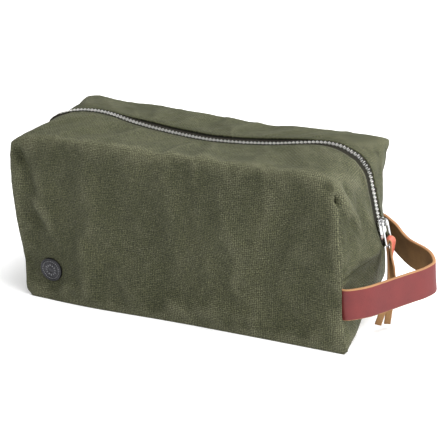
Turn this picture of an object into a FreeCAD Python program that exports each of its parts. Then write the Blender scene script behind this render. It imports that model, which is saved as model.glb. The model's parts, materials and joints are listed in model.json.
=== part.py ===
"""Waxed-canvas toiletry bag with a zip over its top and a leather handle loop on one end.

Frame: millimetres, +Z up, origin at the centre of the base.
+X runs along the bag towards the handle end, -Y is the front, which carries the badge.
"""
import math
import os

import FreeCAD
import Part

V = FreeCAD.Vector

# Bag outline, seen from the front
BASE_HALF = 131.0                   # half length of the bag at its base
KEEL_RIGHT = (142.8, 60.0)          # furthest point of the handle end, under the slider
TUCK_RIGHT = (133.5, 50.5)          # the handle end tucks in to here, below the keel
KEEL_LEFT = (-139.0, 54.0)          # furthest point of the plain end
HEIGHT = 128.0
TOP_RIGHT_X = 131.0                 # where the end and top lines cross, before rounding
TOP_LEFT_X = -132.5
DEPTH = 107.0
BASE_ROUND = 16.0
KEEL_ROUND_RIGHT = 10.0
KEEL_ROUND_LEFT = 30.0
TUCK_ROUND = 12.0
TOP_ROUND = 27.0
SIDE_ROUND = 10.0                   # rounding of the long edges of the front and back

# Layers
CANVAS = 1.2
LINING = 0.5
FOLD_Z = 52.0                       # end seam level, where the mouth halves start to open
FOLD_GAP = 0.4                      # from the fold to the first canvas on each side
CENTRE_GAP = 0.2                    # half gap between the front and back pieces
FAR = 400.0                         # past the bag in every direction, for cutting blocks

# Zip
TOOTH_PITCH = 3.0
TOOTH_ALONG = 1.25
TOOTH_THICK = 2.4
TOOTH_REACH = 0.9                   # how far a tooth passes the centre line
TAPE_EDGE = 3.2                     # from the centre line to the tape's inner edge
TAPE_WIDTH = 12.8
TAPE_THICK = 0.8
LIP_EDGE = 6.0                      # from the centre line to the canvas lip
LINING_EDGE = 9.0                   # from the centre line to the lining's edge
ZIP_INSET = CANVAS + TAPE_THICK / 2
ZIP_FOOT_RIGHT = 65.6               # lower end of the tape at the handle end
ZIP_FOOT_LEFT = 58.2                # lower end of the tape at the plain end
TAPE_ROOM = 0.1                     # clearance of the tape in the lining
STOP_LONG = 2.6
STOP_HALF_THICK = 1.2
STOP_INNER = 0.3                    # from the centre line to the top stop
STOP_GAP = 0.4                      # from the slider to the top stops
END_CLIP = (1.3, 3.0)               # half thickness and half width of the bottom stop
END_CLIP_GAP = 0.6

# Slider, in its own frame: x out of the bag, y across, z up the chain
SLIDER_Z = 74.0
SLIDER_HALF = 6.0
SLIDER_WIDE = 4.9
SLIDER_NARROW = 4.3
SLIDER_WAIST = -1.0                 # height where its sides start to draw in
SLIDER_CORNER = 1.8
SLIDER_SIDE_ROUND = 4.0
SLIDER_SOFT = 0.4                   # rounding of the plates' rims
PLATE = 1.0
CHANNEL_HALF = 1.5
CHANNEL_WIDE = 3.7
TAPE_SLOT_HALF = 0.75
DIVIDER_HALF = 1.5
DIVIDER_LONG = 3.4
DIVIDER_TIP = 0.6
DIVIDER_SET_IN = 0.2                # the wedge stops this short of the plates' faces
PIN_LOW = 2.7                       # lock pin, from its lower to its upper side
PIN_HIGH = 3.7
PIN_HALF = 0.4
PIN_CLEAR = 0.1
LEAF_THICK = 0.4
LEAF_HALF = 0.9
CROWN_FOOT = 0.9
CROWN_THICK = 0.9
CROWN_ROUND = 1.4
CROWN_CLEAR = 0.35                  # from the ring's wire to the inside of the bridge
CROWN_LOW = 0.6
CROWN_HIGH = 6.0
CROWN_HALF_WIDE = 1.1
RING_WIRE = 0.75
RING_PIVOT_UP = 3.2                 # height of the ring's pivot above the slider's centre
RING_PIVOT_OUT = 4.6                # from the chain's centre plane
RING_LONG = 17.5
RING_WIDE = 8.5
RING_CORNER = 1.9

# Leather pull, folded over the ring's lower bar
PULL_WIDE = 4.6
PULL_THICK = 1.8
PULL_TAIL = 55.0
PULL_CLEAR = 0.3

# Leather handle
STRAP_WIDE = 22.0
STRAP_THICK = 2.5
STRAP_EDGE = 0.5                    # rounding of its long edges
STRAP_Z = 36.5
STRAP_ROUTE = ((126.0, -55.0), (150.0, -36.5), (183.6, 13.2), (124.0, 57.6))
STRAP_ROUNDS = (50.0, 12.0)
FLEX_X = 151.5                      # where the loop bends up and down
FLEX_GAP = 0.4

# Badge rivet on the front
BADGE_X = -111.5
BADGE_Z = 23.0
BADGE_R = 9.5
BADGE_HIGH = 2.0
BADGE_DOME = 1.2                    # height of the face just inside the rim
BADGE_CROWN = 0.4                   # how much the face rises towards its middle
BADGE_RIM = 1.3
BADGE_BEVEL = 0.5
POST_R = 1.5
WASHER_R = 5.0
WASHER_THICK = 0.8


def corner_list(inset):
    """Corners of the bag outline moved in by inset: (x, z, rounding radius)."""
    points = [(-BASE_HALF, 0.0), (BASE_HALF, 0.0), TUCK_RIGHT, KEEL_RIGHT, (TOP_RIGHT_X, HEIGHT),
              (TOP_LEFT_X, HEIGHT), KEEL_LEFT]
    rounds = [BASE_ROUND, BASE_ROUND, TUCK_ROUND, KEEL_ROUND_RIGHT, TOP_ROUND, TOP_ROUND,
              KEEL_ROUND_LEFT]
    moved = []
    for i, (x, z) in enumerate(points):
        before = V(x - points[i - 1][0], 0, z - points[i - 1][1]).normalize()
        following = points[(i + 1) % len(points)]
        after = V(following[0] - x, 0, following[1] - z).normalize()
        inward = V(-before.z, 0, before.x) + V(-after.z, 0, after.x)
        scale = 2 * inset / (inward.Length ** 2)
        hollow = before.x * after.z - before.z * after.x < 0
        radius = rounds[i] + (inset if hollow else -inset)
        moved.append((x + inward.x * scale, z + inward.z * scale, radius))
    return moved


def rounded_edges(points, rounds, closed):
    """Lines joined by tangent arcs through points; rounds holds each corner's radius."""
    count = len(points)
    starts = {}
    ends = {}
    arcs = {}
    for i in range(count):
        if not closed and i in (0, count - 1):
            starts[i] = points[i]
            ends[i] = points[i]
            continue
        back = (points[i - 1] - points[i]).normalize()
        ahead = (points[(i + 1) % count] - points[i]).normalize()
        half = back.getAngle(ahead) / 2
        starts[i] = points[i] + back * (rounds[i] / math.tan(half))
        ends[i] = points[i] + ahead * (rounds[i] / math.tan(half))
        bisector = (back + ahead).normalize()
        middle = points[i] + bisector * (rounds[i] / math.sin(half) - rounds[i])
        arcs[i] = Part.Arc(starts[i], middle, ends[i]).toShape()
    edges = []
    for i in range(count):
        if i in arcs:
            edges.append(arcs[i])
        if closed or i < count - 1:
            edges.append(Part.makeLine(ends[i], starts[(i + 1) % count]))
    return edges


def bag_block(inset):
    """The bag as one solid block, moved in by inset all round, with soft long edges."""
    corners = corner_list(inset)
    half = DEPTH / 2 - inset
    points = [V(x, -half, z) for x, z, _ in corners]
    edges = rounded_edges(points, [r for _, _, r in corners], True)
    face = Part.Face(Part.Wire(edges))
    block = face.extrude(V(0, 2 * half, 0))
    long_edges = [e for e in block.Edges if abs(e.BoundBox.YLength) < 1e-6]
    return block.makeFillet(SIDE_ROUND - inset, long_edges)


def slab(x0, x1, y0, y1, z0, z1):
    return Part.makeBox(x1 - x0, y1 - y0, z1 - z0, V(x0, y0, z0))


def zip_points(inset):
    """The zip's line over the bag at this inset: foot, corner, corner, foot."""
    corners = corner_list(inset)
    right_keel, top_right, top_left, left_keel = corners[3:7]

    def at_height(low, high, z):
        share = (z - low[1]) / (high[1] - low[1])
        return V(low[0] + share * (high[0] - low[0]), 0, z)

    return [at_height(right_keel, top_right, ZIP_FOOT_RIGHT),
            V(top_right[0], 0, top_right[1]), V(top_left[0], 0, top_left[1]),
            at_height(left_keel, top_left, ZIP_FOOT_LEFT)]


def zip_edges(inset):
    corner = TOP_ROUND - inset
    return rounded_edges(zip_points(inset), [0, corner, corner, 0], False)


def half_shell(outer, inner, side, upper, lip):
    """One quarter of a fabric layer: side is -1 for front, 1 for back."""
    shell = outer.cut(inner)
    near = sorted((side * CENTRE_GAP, side * FAR))
    if upper:
        keep = slab(-FAR, FAR, near[0], near[1], FOLD_Z + FOLD_GAP, FAR)
    else:
        keep = slab(-FAR, FAR, near[0], near[1], -FAR, FOLD_Z - FOLD_GAP)
    piece = shell.common(keep)
    if upper:
        piece = piece.cut(slab(-FAR, FAR, -lip, lip, FOLD_Z, FAR))
    return piece


def fabric_layers():
    skin = bag_block(0)
    middle = bag_block(CANVAS)
    core = bag_block(CANVAS + LINING)
    post = Part.makeCylinder(POST_R, DEPTH, V(BADGE_X, -DEPTH, BADGE_Z), V(0, 1, 0))
    lining_room = tape_room()
    pieces = {}
    for side, name in ((-1, "front"), (1, "back")):
        for upper, level in ((True, "upper"), (False, "lower")):
            canvas = half_shell(skin, middle, side, upper, LIP_EDGE)
            lining = half_shell(middle, core, side, upper, LINING_EDGE)
            if upper:
                lining = lining.cut(lining_room)
            elif side < 0:
                canvas = canvas.cut(post)
                lining = lining.cut(post)
            pieces["%s_canvas_%s" % (name, level)] = canvas
            pieces["%s_lining_%s" % (name, level)] = lining
    return pieces


def ribbon(inset_out, inset_in, y0, y1):
    """A flat strip along the zip line, between two insets and two y values."""
    outside = zip_edges(inset_out)
    inside = zip_edges(inset_in)
    first = Part.makeLine(inside[0].Vertexes[0].Point, outside[0].Vertexes[0].Point)
    last = Part.makeLine(outside[-1].Vertexes[-1].Point, inside[-1].Vertexes[-1].Point)
    wire = Part.Wire(Part.__sortEdges__(outside + [last] + inside + [first]))
    strip = Part.Face(wire).extrude(V(0, y1 - y0, 0))
    strip.translate(V(0, y0, 0))
    return strip


def tape_room():
    """The space that the two zip tapes take out of the lining."""
    reach = TAPE_EDGE + TAPE_WIDTH
    return ribbon(CANVAS - TAPE_ROOM, CANVAS + TAPE_THICK + TAPE_ROOM / 2, -reach, reach)


def tape(side):
    y0, y1 = sorted((side * TAPE_EDGE, side * (TAPE_EDGE + TAPE_WIDTH)))
    return ribbon(CANVAS, CANVAS + TAPE_THICK, y0, y1)


def slider_frame():
    """Centre of the slider on the chain, and the lean of the chain there in degrees."""
    foot, corner = zip_points(ZIP_INSET)[:2]
    share = (SLIDER_Z - foot.z) / (corner.z - foot.z)
    lean = math.degrees(math.atan2(corner.x - foot.x, corner.z - foot.z))
    return V(foot.x + share * (corner.x - foot.x), 0, SLIDER_Z), lean


def to_slider(shape):
    centre, lean = slider_frame()
    shape.rotate(V(0, 0, 0), V(0, 1, 0), lean)
    shape.translate(centre)
    return shape


def point_on_slider(x, z):
    centre, lean = slider_frame()
    turn = math.radians(lean)
    return V(centre.x + x * math.cos(turn) + z * math.sin(turn), 0,
             centre.z - x * math.sin(turn) + z * math.cos(turn))


def teeth(side):
    """Every tooth of one side, set along the chain from the slider to the far stop."""
    wire = Part.Wire(zip_edges(ZIP_INSET))
    first_point = point_on_slider(0, DIVIDER_LONG - SLIDER_HALF + TOOTH_PITCH / 2)
    foot = zip_points(ZIP_INSET)[0]
    start = (first_point - foot).Length + (TOOTH_PITCH / 2 if side > 0 else 0)
    count = int((wire.Length - start - TOOTH_ALONG) / TOOTH_PITCH)
    y0, y1 = sorted((side * TAPE_EDGE, -side * TOOTH_REACH))
    solids = []
    for i in range(count):
        point, tangent = walk(wire, start + i * TOOTH_PITCH)
        tooth = slab(-TOOTH_THICK / 2, TOOTH_THICK / 2, y0, y1, -TOOTH_ALONG / 2, TOOTH_ALONG / 2)
        tooth.rotate(V(0, 0, 0), V(0, 1, 0), math.degrees(math.atan2(tangent.x, tangent.z)))
        tooth.translate(point)
        solids.append(tooth)
    return Part.makeCompound(solids)


def walk(wire, distance):
    """Point and direction at this distance along an open wire of lines and arcs."""
    for edge in wire.OrderedEdges:
        if distance <= edge.Length:
            forward = edge.Orientation == "Forward"
            travel = distance if forward else edge.Length - distance
            parameter = edge.getParameterByLength(travel)
            tangent = edge.tangentAt(parameter)
            return edge.valueAt(parameter), (tangent if forward else tangent * -1)
        distance -= edge.Length
    raise ValueError("past the end of the wire")


def top_stop(side):
    """Small clip at the open end of one tape, just below the slider."""
    y0, y1 = sorted((side * STOP_INNER, side * TAPE_EDGE))
    top = -SLIDER_HALF - STOP_GAP
    return to_slider(slab(-STOP_HALF_THICK, STOP_HALF_THICK, y0, y1, top - STOP_LONG, top))


def bottom_stop():
    """Clip that holds the two tapes together at the plain end of the bag."""
    foot = zip_points(ZIP_INSET)[-1]
    z = foot.z - END_CLIP_GAP - STOP_LONG / 2
    half_thick, half_wide = END_CLIP
    clip = slab(foot.x - half_thick, foot.x + half_thick, -half_wide, half_wide,
                z - STOP_LONG / 2, z + STOP_LONG / 2)
    return clip.makeFillet(SLIDER_SOFT, clip.Edges)


def slider_body():
    """Two plates joined by a wedge, with a channel for the chain and slots for the tape."""
    outline = [(-SLIDER_WIDE, -SLIDER_HALF), (SLIDER_WIDE, -SLIDER_HALF),
               (SLIDER_WIDE, SLIDER_WAIST), (SLIDER_NARROW, SLIDER_HALF),
               (-SLIDER_NARROW, SLIDER_HALF), (-SLIDER_WIDE, SLIDER_WAIST)]
    back = -CHANNEL_HALF - PLATE
    thick = 2 * (CHANNEL_HALF + PLATE)
    points = [V(back, y, z) for y, z in outline]
    rounds = [SLIDER_CORNER, SLIDER_CORNER, SLIDER_SIDE_ROUND]
    edges = rounded_edges(points, rounds + rounds, True)
    body = Part.Face(Part.Wire(edges)).extrude(V(thick, 0, 0))
    rims = [e for e in body.Edges if e.BoundBox.XLength < 1e-6]
    body = body.makeFillet(SLIDER_SOFT, rims)
    long_cut = SLIDER_HALF + 1
    body = body.cut(slab(-CHANNEL_HALF, CHANNEL_HALF, -CHANNEL_WIDE, CHANNEL_WIDE,
                         -long_cut, long_cut))
    wide_cut = SLIDER_WIDE + 1
    body = body.cut(slab(-TAPE_SLOT_HALF, TAPE_SLOT_HALF, -wide_cut, wide_cut,
                         -long_cut, long_cut))
    inner = back + DIVIDER_SET_IN
    wedge_points = [V(inner, 0, -SLIDER_HALF + DIVIDER_LONG),
                    V(inner, -DIVIDER_HALF, -SLIDER_HALF + DIVIDER_TIP),
                    V(inner, DIVIDER_HALF, -SLIDER_HALF + DIVIDER_TIP)]
    wedge_face = Part.Face(Part.makePolygon(wedge_points + wedge_points[:1]))
    wedge = wedge_face.extrude(V(thick - 2 * DIVIDER_SET_IN, 0, 0))
    body = body.fuse(wedge).removeSplitter()
    return to_slider(body.cut(lock_pin_hole()))


def lock_pin_hole():
    half = PIN_HALF + PIN_CLEAR
    return slab(0, CHANNEL_HALF + PLATE + 1, -half, half, PIN_LOW - PIN_CLEAR, PIN_HIGH + PIN_CLEAR)


def slider_crown():
    """Bridge over the slider that keeps the ring."""
    foot = CHANNEL_HALF + PLATE
    top = RING_PIVOT_OUT + RING_WIRE + CROWN_CLEAR + CROWN_THICK
    arch = slab(foot, top, -CROWN_HALF_WIDE, CROWN_HALF_WIDE, CROWN_LOW, CROWN_HIGH)
    ends = [e for e in arch.Edges if e.BoundBox.YLength > 1 and e.BoundBox.XMin > foot + 1]
    arch = arch.makeFillet(CROWN_ROUND, ends)
    wide = CROWN_HALF_WIDE + 1
    tunnel = slab(foot - 1, top - CROWN_THICK, -wide, wide,
                  CROWN_LOW + CROWN_FOOT, CROWN_HIGH - CROWN_FOOT)
    return to_slider(arch.cut(tunnel))


def lock_spring():
    """Flat spring under the bridge; its pin reaches through the plate to the teeth."""
    foot = CHANNEL_HALF + PLATE
    low = CROWN_LOW + CROWN_FOOT + PIN_CLEAR
    high = CROWN_HIGH - CROWN_FOOT - PIN_CLEAR
    leaf = slab(foot, foot + LEAF_THICK, -LEAF_HALF, LEAF_HALF, low, high)
    pin = slab(CHANNEL_HALF + PIN_CLEAR, foot + LEAF_THICK / 2, -PIN_HALF, PIN_HALF,
               PIN_LOW, PIN_HIGH)
    return to_slider(leaf.fuse(pin).removeSplitter())


def pull_ring():
    """Wire ring, hanging from the bridge and resting along the slider's outer plate."""
    half = RING_WIDE / 2
    top = V(RING_PIVOT_OUT, 0, RING_PIVOT_UP)
    corners = [V(0, -half, 0), V(0, half, 0), V(0, half, -RING_LONG), V(0, -half, -RING_LONG)]
    edges = rounded_edges([top + c for c in corners], [RING_CORNER] * 4, True)
    start = edges[1].Vertexes[0].Point
    section = Part.Wire(Part.Circle(start, V(0, 1, 0), RING_WIRE).toShape())
    return to_slider(Part.Wire(edges).makePipeShell([section], True, False))


def leather_pull():
    """Flat thong folded over the ring's lower bar, its two tails hanging together."""
    inner = RING_WIRE + PULL_CLEAR
    outer = inner + PULL_THICK
    fold = Part.makeCylinder(outer, PULL_WIDE, V(0, -PULL_WIDE / 2, 0), V(0, 1, 0))
    fold = fold.common(slab(-outer, outer, -PULL_WIDE, PULL_WIDE, 0, outer))
    for side in (-1, 1):
        x0, x1 = sorted((side * inner, side * outer))
        fold = fold.fuse(slab(x0, x1, -PULL_WIDE / 2, PULL_WIDE / 2, -PULL_TAIL, 0))
    fold = fold.cut(Part.makeCylinder(inner, 2 * PULL_WIDE, V(0, -PULL_WIDE, 0), V(0, 1, 0)))
    fold.translate(point_on_slider(RING_PIVOT_OUT, RING_PIVOT_UP - RING_LONG))
    return fold.removeSplitter()


def strap_loop():
    """The whole handle strap, standing on edge, from one end seam to the other."""
    half = STRAP_THICK / 2
    sides = []
    for offset in (-half, half):
        points = offset_route(offset)
        rounds = [0] + [r + offset for r in STRAP_ROUNDS] + [0]
        sides.append(rounded_edges(points, rounds, False))
    outline = sides[0] + sides[1]
    outline.append(Part.makeLine(sides[0][0].Vertexes[0].Point, sides[1][0].Vertexes[0].Point))
    outline.append(Part.makeLine(sides[0][-1].Vertexes[-1].Point, sides[1][-1].Vertexes[-1].Point))
    wire = Part.Wire(Part.__sortEdges__(outline))
    strap = Part.Face(wire).extrude(V(0, 0, STRAP_WIDE))
    rims = [e for e in strap.Edges if e.BoundBox.ZLength < 1e-6]
    return strap.makeFillet(STRAP_EDGE, rims)


def offset_route(offset):
    """The strap's route moved to its right (outside the loop) by offset."""
    points = [V(x, y, STRAP_Z - STRAP_WIDE / 2) for x, y in STRAP_ROUTE]
    moved = []
    for i, point in enumerate(points):
        normals = []
        for a, b in ((i - 1, i), (i, i + 1)):
            if a >= 0 and b < len(points):
                run = (points[b] - points[a]).normalize()
                normals.append(V(run.y, -run.x, 0))
        total = normals[0] if len(normals) == 1 else normals[0] + normals[1]
        scale = len(normals) * offset / (total.Length ** 2)
        moved.append(point + total * scale)
    return moved


def handle_pieces():
    """The free loop, and the two ends that are sewn into the end seams."""
    strap = strap_loop()
    radius = STRAP_WIDE / 2
    origin = V(FLEX_X, -FAR, STRAP_Z)
    knuckle = Part.makeCylinder(radius, 2 * FAR, origin, V(0, 1, 0))
    room = Part.makeCylinder(radius + FLEX_GAP, 2 * FAR, origin, V(0, 1, 0))
    beyond = slab(FLEX_X, FAR, -FAR, FAR, 0, FAR)
    loop = strap.common(beyond.fuse(knuckle))
    ends = strap.cut(beyond).cut(room).cut(bag_block(0))
    near = ends.common(slab(0, FLEX_X, -FAR, 0, 0, FAR))
    far = ends.common(slab(0, FLEX_X, 0, FAR, 0, FAR))
    return {"handle_strap": loop, "handle_end_near": outside_piece(near),
            "handle_end_far": outside_piece(far)}


def outside_piece(shape):
    """The solid that reaches furthest from the bag."""
    return max(shape.Solids, key=lambda s: s.BoundBox.XMax)


def badge_pieces():
    """Round snap-style badge: capped disc outside, post through the cloth, washer inside."""
    face_y = -DEPTH / 2
    rim_out = BADGE_R - BADGE_BEVEL
    rim_in = rim_out - BADGE_RIM
    profile = [V(0, 0, 0), V(rim_out, 0, 0), V(BADGE_R, 0, BADGE_BEVEL), V(rim_out, 0, BADGE_HIGH),
               V(rim_in, 0, BADGE_HIGH), V(rim_in - BADGE_BEVEL, 0, BADGE_DOME),
               V(0, 0, BADGE_DOME + BADGE_CROWN), V(0, 0, 0)]
    disc = Part.Face(Part.makePolygon(profile)).revolve(V(0, 0, 0), V(0, 0, 1), 360)
    disc.rotate(V(0, 0, 0), V(1, 0, 0), 90)
    disc.translate(V(BADGE_X, face_y, BADGE_Z))
    inside_y = face_y + CANVAS + LINING
    at = V(BADGE_X, face_y, BADGE_Z)
    post = Part.makeCylinder(POST_R, CANVAS + LINING + WASHER_THICK, at, V(0, 1, 0))
    washer_at = V(BADGE_X, inside_y, BADGE_Z)
    washer = Part.makeCylinder(WASHER_R, WASHER_THICK, washer_at, V(0, 1, 0))
    washer = washer.cut(Part.makeCylinder(POST_R, WASHER_THICK, washer_at, V(0, 1, 0)))
    return {"badge_cap": disc, "badge_post": post, "badge_washer": washer}


def all_pieces():
    pieces = fabric_layers()
    pieces.update(handle_pieces())
    pieces.update(badge_pieces())
    for side, name in ((-1, "front"), (1, "back")):
        pieces["zip_tape_" + name] = tape(side)
        pieces["zip_teeth_" + name] = teeth(side)
        pieces["zip_top_stop_" + name] = top_stop(side)
    pieces["zip_bottom_stop"] = bottom_stop()
    pieces["slider_body"] = slider_body()
    pieces["slider_crown"] = slider_crown()
    pieces["slider_lock_spring"] = lock_spring()
    pieces["pull_ring"] = pull_ring()
    pieces["leather_pull"] = leather_pull()
    return pieces


def main():
    os.makedirs("parts", exist_ok=True)
    for name, shape in all_pieces().items():
        shape.exportStep("parts/%s.step" % name)
        box = shape.BoundBox
        print("%-22s valid %s solids %3d volume %9.1f  x %.1f..%.1f y %.1f..%.1f z %.1f..%.1f" % (
            name, shape.isValid(), len(shape.Solids), shape.Volume,
            box.XMin, box.XMax, box.YMin, box.YMax, box.ZMin, box.ZMax))
    print("ring pivot", point_on_slider(RING_PIVOT_OUT, RING_PIVOT_UP))
    print("pull pivot", point_on_slider(RING_PIVOT_OUT, RING_PIVOT_UP - RING_LONG))
    print("slider centre and lean", slider_frame())


main()
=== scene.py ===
"""Looks of the waxed-canvas toiletry bag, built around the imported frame.

Working units are millimetres in the row frame; meshes are scaled to metres when they are made.
"""

import json
import math

import bmesh
import bpy
import numpy as np
from mathutils import Matrix, Vector, noise


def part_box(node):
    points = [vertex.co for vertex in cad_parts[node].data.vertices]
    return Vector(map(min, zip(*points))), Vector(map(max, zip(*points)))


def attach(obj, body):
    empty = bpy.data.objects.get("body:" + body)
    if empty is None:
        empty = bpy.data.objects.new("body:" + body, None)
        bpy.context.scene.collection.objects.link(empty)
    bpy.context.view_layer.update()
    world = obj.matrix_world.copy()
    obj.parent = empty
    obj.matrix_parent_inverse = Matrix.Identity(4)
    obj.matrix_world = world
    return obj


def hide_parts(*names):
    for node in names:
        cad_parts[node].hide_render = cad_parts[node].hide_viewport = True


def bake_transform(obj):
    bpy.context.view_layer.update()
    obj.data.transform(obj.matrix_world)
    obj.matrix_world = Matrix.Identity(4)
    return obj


MM = 0.001

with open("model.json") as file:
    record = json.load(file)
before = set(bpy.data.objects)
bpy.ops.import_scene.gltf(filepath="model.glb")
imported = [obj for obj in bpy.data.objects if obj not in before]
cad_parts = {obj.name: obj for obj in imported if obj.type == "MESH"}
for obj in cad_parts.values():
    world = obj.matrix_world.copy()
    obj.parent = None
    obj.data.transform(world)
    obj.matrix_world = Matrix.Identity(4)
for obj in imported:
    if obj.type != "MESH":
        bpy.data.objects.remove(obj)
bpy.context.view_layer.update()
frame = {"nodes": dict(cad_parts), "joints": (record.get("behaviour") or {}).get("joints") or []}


# ---------------------------------------------------------------- sizes

JOINTS = {j["name"]: j for j in frame["joints"]}
HALF_DEPTH = -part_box("front_canvas_lower")[0][1] / MM
CLOTH = 1.2                         # thickness of the canvas
PULL_PIVOT = np.array(JOINTS["pull_swing"]["pos_m"], float) / MM

COLUMNS = 120                       # cells along the front wall
ROWS = 62                           # cells up the front wall
RINGS = 26                          # cells from the wall's edge to the middle of the bag

# Edge of the front wall, seen from the front: (x, z) up, or along, each side
EDGE_RIGHT = [(139, 0), (134.6, 10), (132.4, 28), (132.6, 60), (132.8, 92), (131.6, 114),
              (129.5, 126)]
EDGE_TOP = [(129.5, 126), (112, 130), (84, 131), (40, 130), (-5, 130.4), (-50, 131.5),
            (-95, 131.5), (-120, 129), (-136.5, 125.5)]
EDGE_LEFT = [(-136.5, 125.5), (-139, 113), (-139, 90), (-138.8, 61), (-137.2, 30), (-134.0, 0)]
BACK_RIGHT = [(112, 0), (115, 28), (114.5, 60), (116.0, 85), (127.6, 106), (132.0, 125.5)]
BACK_TOP = [(132.0, 125.5), (105, 123.6), (79, 123.6), (45, 123.8), (0, 124.6), (-50, 125.2),
            (-95, 126.4), (-120, 127.6), (-134.5, 126.4)]
BACK_LEFT = [(-134.5, 126.4), (-137, 100), (-137, 61), (-135, 30), (-130, 0)]

# Middle of the bag, where the zip runs: (x, z)
MID_RIGHT = [(124.6, 0), (129.4, 9), (133.8, 24), (136.2, 40), (137.2, 51.5), (139.8, 56.5),
             (141.2, 61.5), (140.2, 67.5), (138.75, 74), (136.3, 88.5), (134.2, 101.3),
             (130.8, 115), (123.5, 124)]
MID_TOP = [(123.5, 124), (111, 129.2), (98, 130.4), (80, 129), (57, 126.5), (25, 124.6),
           (-10, 124.9), (-40, 126.7), (-62, 129), (-80, 132), (-97, 132.9), (-113, 132.0),
           (-127, 128.6)]
MID_LEFT = [(-127, 128.6), (-134.6, 123.4), (-137.4, 111), (-137.8, 85), (-138.0, 61),
            (-134.5, 30), (-127, 0)]
ZIP_SWAY = [(-140, 0), (-97, 6), (-45, 1), (5, -3), (60, 0), (98, 4.5), (128, 1.5), (140, 0)]
ZIP_FOOT_Z = 57.5                   # height at which the slot for the zip closes, right end
ZIP_FOOT_LEFT_Z = 60.0              # the same, left end
CHAIN_LIFT = 0.3                    # of the canvas's lip above the chain's centre
SEAM_Z = 54.5                       # the level seam of each end, at its two outer ends
SEAM_ARCH = 2.5                     # how much higher it runs in the middle
BADGE_LOW, BADGE_HIGH = (np.array(c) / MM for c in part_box("badge_cap"))
BADGE_MIDDLE = (BADGE_LOW + BADGE_HIGH) / 2
BADGE_AT = np.array([BADGE_MIDDLE[0], -HALF_DEPTH, BADGE_MIDDLE[2]])
BADGE_R = (BADGE_HIGH[0] - BADGE_LOW[0]) / 2


# ---------------------------------------------------------------- small tools

def lengths(line):
    """Distance from the start of a line of points to each of them."""
    return np.concatenate([[0], np.cumsum(np.linalg.norm(np.diff(line, axis=0), axis=1))])


def sample(steps, table, place):
    """The point of a table at a distance along its line."""
    return np.array([np.interp(place, steps, table[:, c]) for c in range(3)])


def unit(rows):
    return rows / np.linalg.norm(rows, axis=1)[:, None]


def square_to(along, rows):
    """Unit vectors: what is left of each row once its part along the line is taken out."""
    return unit(rows - along * np.einsum("ij,ij->i", rows, along)[:, None])


def tube_faces(first, sides, levels):
    """Quads between rings of points, and a face over each end."""
    faces = []
    for level in range(levels - 1):
        for c in range(sides):
            a = first + level * sides + c
            b = first + level * sides + (c + 1) % sides
            faces.append((a, b, b + sides, a + sides))
    faces.append(tuple(range(first, first + sides))[::-1])
    faces.append(tuple(range(first + (levels - 1) * sides, first + levels * sides)))
    return faces


def smooth_line(points, count, spread=None):
    """A smooth curve through points, sampled at count + 1 places, even along its length."""
    pts = np.array(points, float)
    padded = np.vstack([2 * pts[0] - pts[1], pts, 2 * pts[-1] - pts[-2]])
    fine = []
    for i in range(len(pts) - 1):
        p0, p1, p2, p3 = padded[i:i + 4]
        d1, d2, d3 = (np.linalg.norm(b - a) ** 0.5 for a, b in ((p0, p1), (p1, p2), (p2, p3)))
        t1, t2, t3 = d1, d1 + d2, d1 + d2 + d3
        for t in np.linspace(t1, t2, 24, endpoint=False):
            a1 = (t1 - t) / t1 * p0 + t / t1 * p1
            a2 = (t2 - t) / d2 * p1 + (t - t1) / d2 * p2
            a3 = (t3 - t) / d3 * p2 + (t - t2) / d3 * p3
            b1 = (t2 - t) / t2 * a1 + t / t2 * a2
            b2 = (t3 - t) / (d2 + d3) * a2 + (t - t1) / (d2 + d3) * a3
            fine.append((t2 - t) / d2 * b1 + (t - t1) / d2 * b2)
    fine.append(pts[-1])
    fine = np.array(fine)
    steps = lengths(fine)
    places = np.linspace(0, 1, count + 1) if spread is None else spread
    return np.stack([np.interp(places * steps[-1], steps, column) for column in fine.T], 1)


def ease(a, b, x):
    """0 up to a, 1 from b on, and a smooth step between them; b may be the smaller one."""
    t = np.clip((x - a) / (b - a), 0, 1)
    return t * t * (3 - 2 * t)


def look_up(table, x):
    """Smooth value from a short list of (place, value)."""
    xs, ys = zip(*table)
    fine = np.linspace(xs[0], xs[-1], 200)
    rough = np.interp(fine, xs, ys)
    kernel = np.hanning(25)
    padded = np.pad(rough, 12, mode="edge")
    return np.interp(x, fine, np.convolve(padded, kernel / kernel.sum(), "valid"))


def make_object(name, vertices, faces, materials, face_material=None, uv=None, smooth=True):
    """A mesh object from millimetre vertices, with one millimetre (u, v) per face corner."""
    mesh = bpy.data.meshes.new(name)
    mesh.from_pydata([tuple(v) for v in np.asarray(vertices) * MM], [], [tuple(f) for f in faces])
    for material in materials:
        mesh.materials.append(material)
    if face_material is not None:
        mesh.polygons.foreach_set("material_index", np.array(face_material, np.int32))
    mesh.polygons.foreach_set("use_smooth", np.full(len(mesh.polygons), smooth))
    if uv is not None:
        layer = mesh.uv_layers.new(name="thread")
        layer.data.foreach_set("uv", (np.array(uv) * MM).ravel())
    mesh.update()
    obj = bpy.data.objects.new(name, mesh)
    bpy.context.scene.collection.objects.link(obj)
    return obj


# ---------------------------------------------------------------- cloth shape

def row_spread():
    """Places of the wall's rows from 0 to 1, closer together round the end seam's level."""
    even = np.linspace(0, 1, 400)
    density = 1 + 3.2 * np.exp(-((even - 0.44) / 0.05) ** 2)
    total = np.concatenate([[0], np.cumsum((density[1:] + density[:-1]) / 2)])
    return np.interp(np.linspace(0, 1, ROWS + 1), total / total[-1], even)


ROW_PLACES = row_spread()


def perimeter(right, top, left):
    """Closed line round one outline, with the wall grid's count of points on each side."""
    r = smooth_line(right, ROWS, ROW_PLACES)
    t = smooth_line(top, COLUMNS)
    l = smooth_line(left, ROWS, 1 - ROW_PLACES[::-1])
    b = np.stack([np.linspace(left[-1][0], right[0][0], COLUMNS + 1), np.zeros(COLUMNS + 1)], 1)
    return np.vstack([b[:-1], r[:-1], t[:-1], l[:-1]])


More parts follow.
